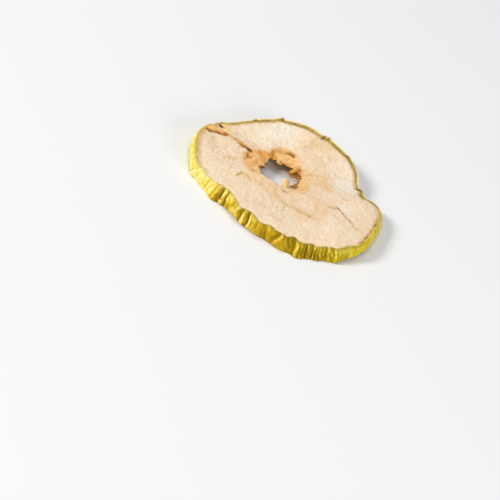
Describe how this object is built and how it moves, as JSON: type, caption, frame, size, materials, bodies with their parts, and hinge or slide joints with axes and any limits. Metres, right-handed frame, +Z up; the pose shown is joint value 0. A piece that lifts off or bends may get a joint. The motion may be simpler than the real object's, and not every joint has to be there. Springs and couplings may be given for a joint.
{
  "type": "dried apple ring",
  "caption": "Thin dried slice of green apple with puckered peel round its rim, a ragged core hole and a split from hole to rim.",
  "frame": {"origin": "middle of the ring's box seen from above, on the surface that it lies on", "axes": "+Z up through the hole; the split runs towards -X, and the rim's raised side is towards +Y"},
  "size_m": [0.0684, 0.0657, 0.0087],
  "materials": {
    "dried_apple": "dry matte cream flesh, browner at the core, with a satin yellow-green peel round the rim"
  },
  "bodies": {
    "root": {"apple_ring": "dried_apple"}
  },
  "joints": []
}
